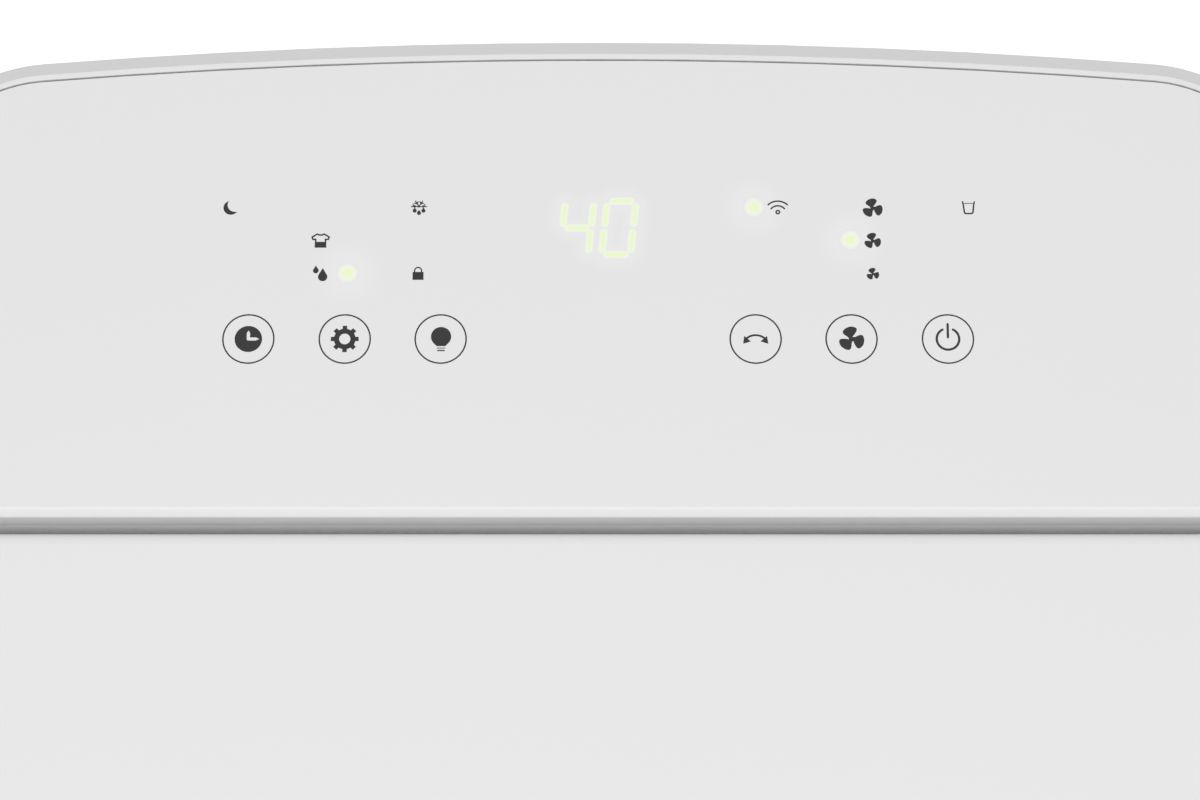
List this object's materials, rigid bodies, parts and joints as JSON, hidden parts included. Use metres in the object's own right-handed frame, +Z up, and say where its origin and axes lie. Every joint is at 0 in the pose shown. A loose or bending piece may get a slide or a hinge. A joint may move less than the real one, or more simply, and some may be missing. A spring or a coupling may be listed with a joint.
{
  "type": "dehumidifier",
  "caption": "Upright compressor dehumidifier with a touch panel and swing air flap on top, a pull-out water tank, a rear filter grille, side grips and swivel casters.",
  "frame": {"origin": "on the floor, under the middle of the casing", "axes": "+Z up; +X to the right as seen by the user in front of the machine; +Y from the tank at the front towards the air intake at the back"},
  "size_m": [0.346, 0.24, 0.53],
  "materials": {
    "casing_white": "fine satin moulding",
    "panel_white": "smooth satin, printed symbols",
    "flap_white": "smooth satin",
    "vane_grey": "satin moulding",
    "tank_clear": "translucent, frosted",
    "lid_grey": "satin moulding",
    "window_clear": "clear tinted strip",
    "inner_plastic": "plain moulding",
    "fan_plastic": "plain moulding",
    "gear_plastic": "acetal",
    "dark_plastic": "plain moulding",
    "float_foam": "closed-cell foam",
    "filter_mesh": "frame with woven nylon mesh",
    "circuit_board": "solder mask",
    "lamp_lens": "diffusing lens",
    "foam_black": "conductive foam",
    "compressor_black": "black enamel",
    "motor_iron": "machined",
    "motor_steel": "zinc plated",
    "copper": "drawn copper",
    "fin_aluminium": "bare fin stock",
    "zinc_steel": "zinc plated",
    "rubber_black": "moulded",
    "caster_fork": "nylon",
    "caster_tread": "soft tread"
  },
  "bodies": {
    "chassis": {"base_pan": "casing_white", "front_shell": "casing_white", "rear_shell": "casing_white", "top_cover": "casing_white", "control_panel": "panel_white", "outlet_grille": "vane_grey", "fan_scroll": "inner_plastic", "fan_bulkhead": "inner_plastic", "drain_pan": "inner_plastic", "chassis_partition": "inner_plastic", "power_box": "inner_plastic", "cord_gland": "dark_plastic", "humidity_sensor": "dark_plastic", "float_sensor": "dark_plastic", "digit_display": "dark_plastic", "display_board": "circuit_board", "power_board": "circuit_board", "indicator_lamps": "lamp_lens", "touch_pads": "foam_black", "compressor_body": "compressor_black", "compressor_cap": "compressor_black", "accumulator": "compressor_black", "compressor_stator": "motor_iron", "compressor_pump": "motor_iron", "fan_motor": "motor_steel", "flap_stepper": "motor_steel", "condenser_tubes": "copper", "evaporator_tubes": "copper", "suction_pipe": "copper", "discharge_pipe": "copper", "liquid_line": "copper", "condenser_fins": "fin_aluminium", "evaporator_fins": "fin_aluminium", "coil_end_plates": "zinc_steel", "fasteners": "zinc_steel", "compressor_grommets": "rubber_black", "drain_hose": "rubber_black"},
    "flap": {"outlet_flap": "flap_white", "flap_sector": "gear_plastic"},
    "flap_pinion": {"flap_pinion": "gear_plastic"},
    "blower": {"blower_shaft": "motor_steel", "blower_wheel": "fan_plastic"},
    "compressor_rotor": {"compressor_rotor": "motor_iron"},
    "intake_grille": {"rear_grille": "casing_white", "air_filter": "filter_mesh"},
    "tank": {"tank_body": "tank_clear", "tank_lid": "lid_grey", "tank_front": "casing_white", "tank_window": "window_clear"},
    "tank_handle": {"tank_handle": "lid_grey"},
    "tank_float": {"tank_float": "float_foam"},
    "drain_plug": {"drain_plug": "rubber_black"},
    "caster_fork_front_left": {"caster_fork_front_left": "caster_fork"},
    "caster_wheel_front_left": {"caster_wheel_front_left": "caster_tread"},
    "caster_fork_front_right": {"caster_fork_front_right": "caster_fork"},
    "caster_wheel_front_right": {"caster_wheel_front_right": "caster_tread"},
    "caster_fork_rear_left": {"caster_fork_rear_left": "caster_fork"},
    "caster_wheel_rear_left": {"caster_wheel_rear_left": "caster_tread"},
    "caster_fork_rear_right": {"caster_fork_rear_right": "caster_fork"},
    "caster_wheel_rear_right": {"caster_wheel_rear_right": "caster_tread"}
  },
  "joints": [
    {"name": "flap_hinge", "type": "hinge", "parent": "chassis", "child": "flap", "pos_m": [0, -0.0095, 0.5269], "axis": [-1, 0, 0], "range_deg": [0, 70]},
    {"name": "pinion_spin", "type": "hinge", "parent": "chassis", "child": "flap_pinion", "pos_m": [0, -0.02855, 0.5159], "axis": [-1, 0, 0], "range_deg": [-190, 0]},
    {"name": "blower_spin", "type": "hinge", "parent": "chassis", "child": "blower", "pos_m": [0, -0.05, 0.372], "axis": [0, 1, 0], "continuous": true},
    {"name": "compressor_spin", "type": "hinge", "parent": "chassis", "child": "compressor_rotor", "pos_m": [0.082, 0.052, 0.15], "axis": [0, 0, 1], "continuous": true},
    {"name": "grille_pull", "type": "slide", "parent": "chassis", "child": "intake_grille", "axis": [0, 1, 0], "range_m": [0, 0.06]},
    {"name": "tank_slide", "type": "slide", "parent": "chassis", "child": "tank", "axis": [0, -1, 0], "range_m": [0, 0.16]},
    {"name": "handle_swing", "type": "hinge", "parent": "tank", "child": "tank_handle", "pos_m": [0, -0.06, 0.188], "axis": [1, 0, 0], "range_deg": [0, 70]},
    {"name": "float_swing", "type": "hinge", "parent": "tank", "child": "tank_float", "pos_m": [-0.108, -0.088, 0.188], "axis": [1, 0, 0], "range_deg": [0, 12]},
    {"name": "plug_pull", "type": "slide", "parent": "chassis", "child": "drain_plug", "axis": [0, 1, 0], "range_m": [0, 0.04]},
    {"name": "swivel_front_left", "type": "hinge", "parent": "chassis", "child": "caster_fork_front_left", "pos_m": [-0.14, -0.088, 0.04], "axis": [0, 0, 1], "continuous": true},
    {"name": "roll_front_left", "type": "hinge", "parent": "caster_fork_front_left", "child": "caster_wheel_front_left", "pos_m": [-0.14, -0.08, 0.013], "axis": [1, 0, 0], "continuous": true},
    {"name": "swivel_front_right", "type": "hinge", "parent": "chassis", "child": "caster_fork_front_right", "pos_m": [0.14, -0.088, 0.04], "axis": [0, 0, 1], "continuous": true},
    {"name": "roll_front_right", "type": "hinge", "parent": "caster_fork_front_right", "child": "caster_wheel_front_right", "pos_m": [0.14, -0.08, 0.013], "axis": [1, 0, 0], "continuous": true},
    {"name": "swivel_rear_left", "type": "hinge", "parent": "chassis", "child": "caster_fork_rear_left", "pos_m": [-0.14, 0.088, 0.04], "axis": [0, 0, 1], "continuous": true},
    {"name": "roll_rear_left", "type": "hinge", "parent": "caster_fork_rear_left", "child": "caster_wheel_rear_left", "pos_m": [-0.14, 0.096, 0.013], "axis": [1, 0, 0], "continuous": true},
    {"name": "swivel_rear_right", "type": "hinge", "parent": "chassis", "child": "caster_fork_rear_right", "pos_m": [0.14, 0.088, 0.04], "axis": [0, 0, 1], "continuous": true},
    {"name": "roll_rear_right", "type": "hinge", "parent": "caster_fork_rear_right", "child": "caster_wheel_rear_right", "pos_m": [0.14, 0.096, 0.013], "axis": [1, 0, 0], "continuous": true}
  ],
  "couplings": [
    {"joint": "pinion_spin", "follows": "flap_hinge", "ratio": -2.6667}
  ]
}
